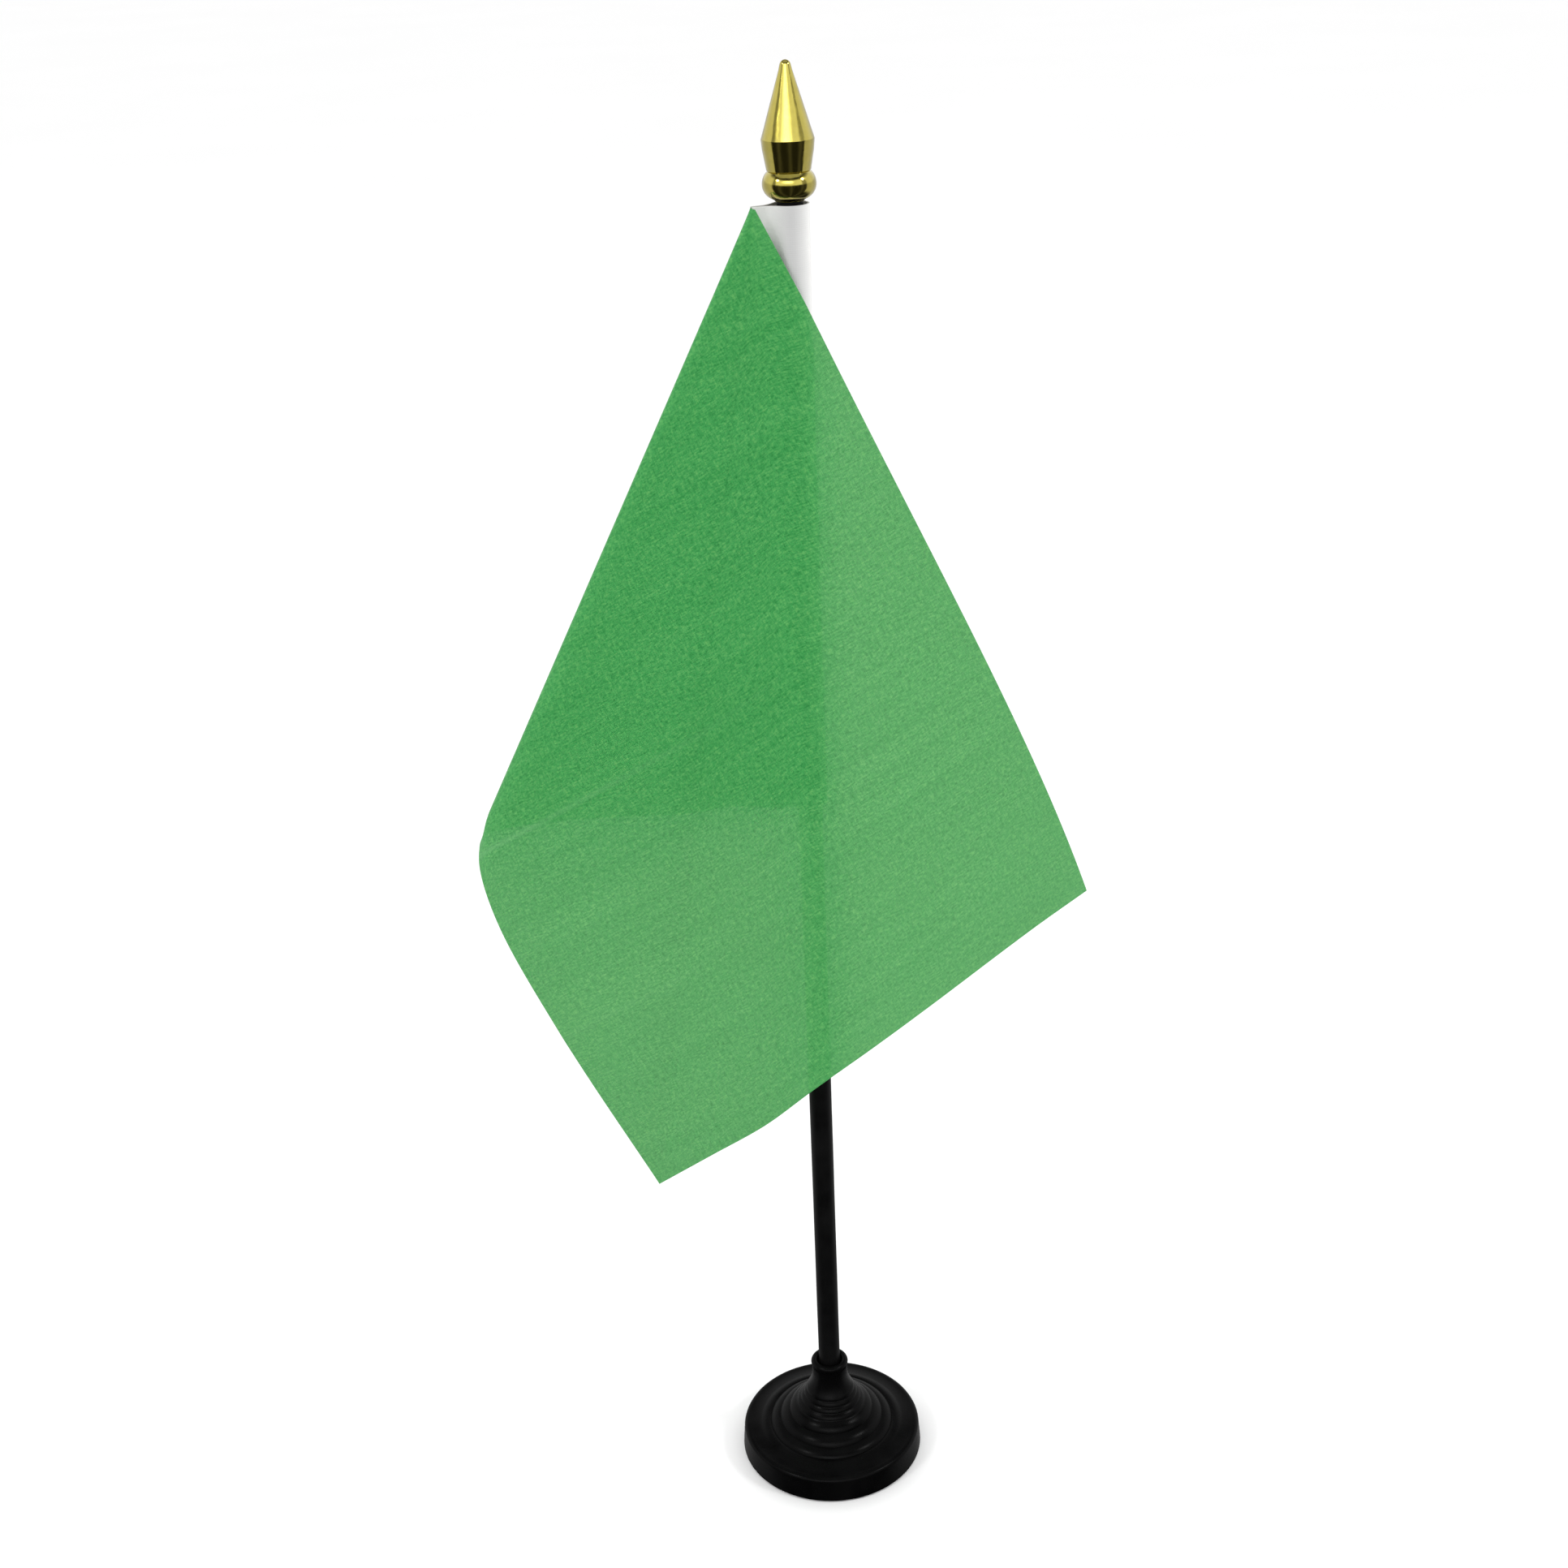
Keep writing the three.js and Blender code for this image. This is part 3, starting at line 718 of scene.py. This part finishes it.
def sheet_lines():
    """The sheet's straight lines, from the hoist to the upper corner, as (start, end, bulge of the fold,
    bulge of the top edge), and each end's flat place."""
    bottom_points = [hoist_foot, *BOTTOM_EDGE]
    lines = []
    for i in range(BOTTOM_COLUMNS + 1):
        along = i / BOTTOM_COLUMNS * len(BOTTOM_EDGE)
        share = smoothstep(along, FOLD_START, FOLD_END)
        start = hoist_top + (front_top - hoist_top) * share
        flare = -FOLD_FLARE * max(0.0, 1 - abs(along - FOLD_CREST) / FOLD_SPREAD)
        lines.append((start, edge_point(bottom_points, along), flare, 0.0))
    for i in range(1, FLY_COLUMNS + 1):
        along = i / FLY_COLUMNS * (len(FLY_EDGE) - 1)
        arch = TOP_ARCH * smoothstep(i / FLY_COLUMNS, 0.3, 1)
        lines.append((front_top, edge_point(FLY_EDGE, along), 0.0, arch))
    ends = np.array([line[1] for line in lines])
    steps = np.linalg.norm(np.diff(ends, axis=0), axis=1)
    gone = np.concatenate([[0], np.cumsum(steps)])
    corner = gone[BOTTOM_COLUMNS]
    flats = []
    for i, length in enumerate(gone):
        if i <= BOTTOM_COLUMNS:
            flats.append((FLY * length / corner, HOIST))
        else:
            flats.append((FLY, HOIST * (1 - (length - corner) / (gone[-1] - corner))))
    return lines, flats


def flag_grid():
    """Middle points of the sheet, columns by rows, and their flat places."""
    lines, flats = sheet_lines()
    places = np.zeros((len(lines) + 1, ROWS + 1, 3))
    flat = np.zeros((len(lines) + 1, ROWS + 1, 2))
    for i, ((start, end, flare, arch), corner) in enumerate(zip(lines, flats)):
        path = tight_path(start, end)
        first = CORNER_GAP / np.linalg.norm(end - start)
        for j in range(ROWS + 1):
            share = first + (1 - first) * (j / ROWS) ** ROW_CROWDING
            places[i + 1, j] = path(share)
            places[i + 1, j, 0] += flare * share * (1 - smoothstep(share, FLARE_END, 1))
            places[i + 1, j, 0] += arch * share ** ARCH_POWER * (1 - share) / ARCH_PEAK
            flat[i + 1, j] = (corner[0] * share, corner[1] * share)
    hidden = SEAM_REACH - HOIST_EDGE_REACH
    places[0] = places[1] - seam_direction * hidden
    flat[0] = flat[1] - np.array([hidden, 0])
    return creased(places, flat), flat


def creased(places, flat):
    """The sheet was packed folded in quarters. Each crease is still a low ridge, away from the pole, that
    fades towards the top edge and the fold."""
    ridge = np.zeros(flat.shape[:2])
    for place, height, _ in CREASES:
        ridge += height * np.exp(-np.abs(flat[..., 0] - place) / CREASE_WIDTH)
    ridge *= np.clip(flat[..., 1] / CREASE_TOP_FADE, 0, 1)
    from_fold = places[..., 0] - places[..., 0].min(axis=0)
    ridge *= np.clip(from_fold / CREASE_FOLD_FADE, 0, 1)
    return places - grid_normals(places) * ridge[..., None]


def grid_normals(grid):
    columns = np.gradient(grid, axis=0)
    rows = np.gradient(grid, axis=1)
    normals = np.cross(columns, rows)
    return normals / np.linalg.norm(normals, axis=2, keepdims=True)


def thick_sheet(name, grid, flat, thickness):
    """A closed sheet from its middle points, with its flat places in metres as the attribute flat."""
    normals = grid_normals(grid)
    columns, rows = grid.shape[:2]
    sides = [grid + normals * thickness / 2, grid - normals * thickness / 2]
    vertices = np.concatenate([s.reshape(-1, 3) for s in sides]) * MM
    count = columns * rows

    def at(side, i, j):
        return side * count + i * rows + j

    def rim(i, j, i2, j2):
        return at(0, i, j), at(1, i, j), at(1, i2, j2), at(0, i2, j2)

    last_column, last_row = columns - 1, rows - 1
    faces = []
    for i in range(last_column):
        for j in range(last_row):
            faces.append((at(0, i, j), at(0, i + 1, j), at(0, i + 1, j + 1), at(0, i, j + 1)))
            faces.append((at(1, i, j), at(1, i, j + 1), at(1, i + 1, j + 1), at(1, i + 1, j)))
        faces.append(rim(i, 0, i + 1, 0))
        faces.append(rim(i + 1, last_row, i, last_row))
    for j in range(last_row):
        faces.append(rim(0, j + 1, 0, j))
        faces.append(rim(last_column, j, last_column, j + 1))
    sheet = add_mesh(name, vertices, faces)
    values = np.zeros((2 * count, 3))
    values[:, :2] = np.tile(flat.reshape(-1, 2) * MM, (2, 1))
    attribute = sheet.data.attributes.new("flat", "FLOAT_VECTOR", "POINT")
    attribute.data.foreach_set("vector", values.ravel())
    return sheet


def make_flag():
    grid, flat = flag_grid()
    flag = thick_sheet("flag_cloth_sheet", grid, flat, FLAG_VISIBLE_THICKNESS)
    sharpen(flag, 60)
    finish_piece(flag, "flag", flag_cloth(), "flag_panel")


# ---------------------------------------------------------------- hoist sleeve

TAPE_VISIBLE_THICKNESS = 0.34
PLY_MIDDLE = 0.62
TAIL_START = 6.4
TAPE_SECTIONS = 150
TAPE_LOOSENESS = 0.16
TAPE_PUCKER = 0.05  # how far each stitch draws the tape in and lets it out
LEAVE_ANGLE = math.radians(38)  # from the seam's direction to where each ply leaves the pole
ROUND_STEPS, TAIL_STEPS, STRAIGHT_STEPS = 48, 10, 5
STITCH_LENGTH = 2.6
STITCH_REACH = 7.4
STITCH_MARGIN = 2.4
THREAD_RADIUS, THREAD_SIDES, THREAD_BENDS = 0.16, 8, 8
THREAD_SWAY = 0.05
THREAD_RISE = 0.12  # how far a thread's ends sink into the tape, and its middle stands out of it


def sleeve_outline():
    """The tape's middle line in plan, with X along the seam: one tail, round the pole, and the other tail."""
    radius = SLEEVE_RADIUS - 0.2
    round_part = []
    for k in range(ROUND_STEPS + 1):
        angle = LEAVE_ANGLE + (2 * math.pi - 2 * LEAVE_ANGLE) * k / ROUND_STEPS
        round_part.append((radius * math.cos(angle), radius * math.sin(angle)))
    start = Vector(round_part[0])
    tangent = Vector((math.sin(LEAVE_ANGLE), -math.cos(LEAVE_ANGLE)))
    flat_start = Vector((TAIL_START, PLY_MIDDLE))
    tail = []
    for k in range(TAIL_STEPS):
        t = 1 - k / TAIL_STEPS
        a, b, c, d = start, start + tangent * 1.0, flat_start - Vector((1.0, 0)), flat_start
        point = a * (1 - t) ** 3 + b * 3 * t * (1 - t) ** 2 + c * 3 * t ** 2 * (1 - t) + d * t ** 3
        tail.append((point.x, point.y))
    length = SEAM_REACH - TAIL_START
    straight = [(SEAM_REACH - length * k / STRAIGHT_STEPS, PLY_MIDDLE) for k in range(STRAIGHT_STEPS)]
    first = straight + tail
    last = [(x, -y) for x, y in reversed(first)]
    return first + round_part + last


def make_sleeve():
    outline = np.array(sleeve_outline())
    steps = np.linalg.norm(np.diff(outline, axis=0), axis=1)
    gone = np.concatenate([[0], np.cumsum(steps)])
    along, across = seam_direction[:2], seam_normal[:2]
    low_z, high_z = SLEEVE_TOP_Z - HOIST, SLEEVE_TOP_Z
    grid = np.zeros((len(outline), TAPE_SECTIONS + 1, 3))
    flat = np.zeros((len(outline), TAPE_SECTIONS + 1, 2))
    for j in range(TAPE_SECTIONS + 1):
        z = high_z + (low_z - high_z) * j / TAPE_SECTIONS
        for i, (x, y) in enumerate(outline):
            reach = math.hypot(x, y)
            soft = noise.noise(Vector((x * 0.12, y * 0.12, z * 0.06)))
            looseness = TAPE_LOOSENESS * soft * (1 - smoothstep(x, 3.0, 6.0))
            pucker = TAPE_PUCKER * math.cos(2 * math.pi * z / STITCH_LENGTH) * smoothstep(x, 5.2, 6.8)
            x2 = x * (1 + looseness / reach)
            y2 = y * (1 + looseness / reach) + math.copysign(pucker, y)
            place = along * x2 + across * y2
            grid[i, j] = (place[0], place[1], z)
            flat[i, j] = (gone[i], (high_z - z))
    sleeve = thick_sheet("hoist_tape", grid, flat, TAPE_VISIBLE_THICKNESS)
    sharpen(sleeve, 60)
    finish_piece(sleeve, "flag", sleeve_tape(), "hoist_sleeve")


def make_stitches(name, side, material, replaced):
    """One face of the lockstitch: a row of short threads, each diving into the tape at both ends."""
    sides, bends = THREAD_SIDES, THREAD_BENDS
    surface = side * (PLY_MIDDLE + TAPE_VISIBLE_THICKNESS / 2)
    count = int((HOIST - STITCH_MARGIN) / STITCH_LENGTH)
    vertices, faces = [], []
    top_z = SLEEVE_TOP_Z - (HOIST - count * STITCH_LENGTH) / 2
    for n in range(count):
        first = len(vertices)
        sway = THREAD_SWAY * noise.noise(Vector((n * 0.7, side * 3.0, 0.5)))
        for k in range(bends + 1):
            share = k / bends
            lift = -THREAD_RISE + 2 * THREAD_RISE * math.sin(math.pi * share) ** 0.6
            z = top_z - STITCH_LENGTH * (n + 0.02 + 0.96 * share)
            fat = THREAD_RADIUS * (0.75 + 0.25 * math.sin(math.pi * share))
            for s in range(sides):
                angle = 2 * math.pi * s / sides
                x = STITCH_REACH + sway + fat * math.cos(angle)
                y = surface + side * lift + fat * math.sin(angle)
                place = seam_direction[:2] * x + seam_normal[:2] * y
                vertices.append((place[0] * MM, place[1] * MM, z * MM))
        for k in range(bends):
            for s in range(sides):
                nxt = (s + 1) % sides
                a, b = first + k * sides, first + (k + 1) * sides
                faces.append((a + s, b + s, b + nxt, a + nxt))
        faces.append(tuple(first + s for s in range(sides)))
        faces.append(tuple(first + bends * sides + s for s in reversed(range(sides))))
    stitches = add_mesh(name, vertices, faces)
    fix_normals(stitches)
    sharpen(stitches, 60)
    finish_piece(stitches, "flag", material, replaced)


def fix_normals(obj):
    shape = bmesh.new()
    shape.from_mesh(obj.data)
    bmesh.ops.recalc_face_normals(shape, faces=shape.faces)
    shape.to_mesh(obj.data)
    shape.free()


# ---------------------------------------------------------------- floor and light

FLOOR_REACH = 12.0  # metres, to each side of the stand


def make_floor():
    r = FLOOR_REACH
    corners = [(-r, -r, 0), (r, -r, 0), (r, r, 0), (-r, r, 0)]
    floor = add_mesh("floor", corners, [(0, 1, 2, 3)], smooth=False)
    t = Tree("floor_paper")
    clouds = t.noise(t.place(), 3, 2)
    t.set(Base_Color=t.ramp(clouds, [(0.3, (0.975, 0.975, 0.975)), (0.7, (0.985, 0.985, 0.985))]))
    t.set(Roughness=0.9)
    t.shader.inputs["Specular IOR Level"].default_value = 0.1
    floor.data.materials.append(t.material)
    floor.visible_glossy = False


PANEL_LIGHT = 1.15
HOT_LIGHT = 2.8
FLANK_LIGHT = 0.31
WALL_LIGHT = 0.572
CEILING_LIGHT = 0.45
STREAK_LIGHT = 0.05
DARK_LIGHT = 0.02
FRONT_LIGHT = 0.22
SIDE_LIGHT = 1.1
LAMPS = [("key_left", (-0.82, -0.57, 0.98), 2.7), ("key_right", (0.94, -0.34, 0.98), 3.3)]
LAMP_SIZE = 0.2
LAMP_TARGET = (0, 0, 0.18)


def make_world():
    """White light, dimmer from the front, and for mirrors a studio with bright panels and dark gaps."""
    world = bpy.data.worlds.new("studio")
    bpy.context.scene.world = world
    world.use_nodes = True
    tree = world.node_tree
    background = tree.nodes["Background"]

    def node(kind, **settings):
        made = tree.nodes.new(kind)
        for key, value in settings.items():
            setattr(made, key, value)
        return made

    def calc(operation, a, b=0.0):
        made = node("ShaderNodeMath", operation=operation)
        for value, socket in zip((a, b), made.inputs):
            if isinstance(value, bpy.types.NodeSocket):
                tree.links.new(value, socket)
            else:
                socket.default_value = value
        return made.outputs["Value"]

    def step(value, low, high):
        made = node("ShaderNodeMapRange", interpolation_type="SMOOTHSTEP")
        tree.links.new(value, made.inputs["Value"])
        made.inputs["From Min"].default_value = low
        made.inputs["From Max"].default_value = high
        return made.outputs["Result"]

    def product(*values):
        result = values[0]
        for value in values[1:]:
            result = calc("MULTIPLY", result, value)
        return result

    def total(*values):
        result = values[0]
        for value in values[1:]:
            result = calc("ADD", result, value)
        return result

    def inverse(value):
        return calc("SUBTRACT", 1.0, value)

    coordinates = node("ShaderNodeTexCoord")
    parts = node("ShaderNodeSeparateXYZ")
    tree.links.new(coordinates.outputs["Generated"], parts.inputs["Vector"])
    x, y, z = (parts.outputs[k] for k in "XYZ")
    signed = calc("ARCTAN2", x, calc("MULTIPLY", y, -1.0))  # 0 in front of the stand, positive to its right
    azimuth = calc("ABSOLUTE", signed)

    # What mirrors show: a bright panel in front with a hot middle, dimmer flanks, walls behind, pale ceiling.
    above = product(step(z, 0.0, 0.16), inverse(step(z, 0.5, 0.68)))
    aside = step(azimuth, 0.92, 1.12)
    panel = product(inverse(aside), above, PANEL_LIGHT)
    hot = inverse(step(calc("ABSOLUTE", calc("ADD", signed, 0.1)), 0.1, 0.6))
    hot_band = product(step(z, 0.26, 0.36), inverse(step(z, 0.48, 0.58)))
    walls = product(step(azimuth, 1.3, 1.42), inverse(step(z, 0.5, 0.8)), step(z, -0.75, -0.5))
    ripples = calc("SINE", calc("MULTIPLY", calc("ADD", signed, 0.3), 3.6))
    studio = total(
        panel,
        product(hot, hot_band, HOT_LIGHT),
        product(aside, above, FLANK_LIGHT),
        product(walls, WALL_LIGHT),
        product(calc("POWER", calc("ABSOLUTE", ripples), 6.0), STREAK_LIGHT),
        product(step(z, 0.74, 0.84), CEILING_LIGHT),
        DARK_LIGHT,
    )

    # What lights the cloth: even white, dimmer from the front.
    all_round = calc("MAXIMUM", step(azimuth, 0.6, 1.3), step(z, 0.35, 0.7))
    even = calc("ADD", product(all_round, SIDE_LIGHT - FRONT_LIGHT), FRONT_LIGHT)

    mirrored = node("ShaderNodeLightPath").outputs["Is Glossy Ray"]
    strength = calc("ADD", product(mirrored, studio), product(inverse(mirrored), even))
    background.inputs["Color"].default_value = (1, 1, 1, 1)
    tree.links.new(strength, background.inputs["Strength"])


def make_lights():
    make_world()
    for name, place, power in LAMPS:
        data = bpy.data.lights.new(name, "AREA")
        data.shape = "DISK"
        data.size = LAMP_SIZE
        data.energy = power
        lamp = bpy.data.objects.new(name, data)
        bpy.context.scene.collection.objects.link(lamp)
        lamp.location = place
        lamp.rotation_euler = (Vector(LAMP_TARGET) - Vector(place)).to_track_quat("-Z", "Y").to_euler()
    bpy.context.scene.view_settings.view_transform = "Standard"


# ---------------------------------------------------------------- everything

make_camera()
make_foot()
make_foot_pad()
make_pole()
make_finial()
make_sleeve()
make_flag()
thread = sewing_thread()
make_stitches("seam_stitches_front", 1, thread, "seam_thread_front")
make_stitches("seam_stitches_back", -1, thread, "seam_thread_back")
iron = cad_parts["ballast"]
iron.data.materials.clear()
iron.data.materials.append(cast_iron())
make_floor()
make_lights()

bpy.context.view_layer.update()
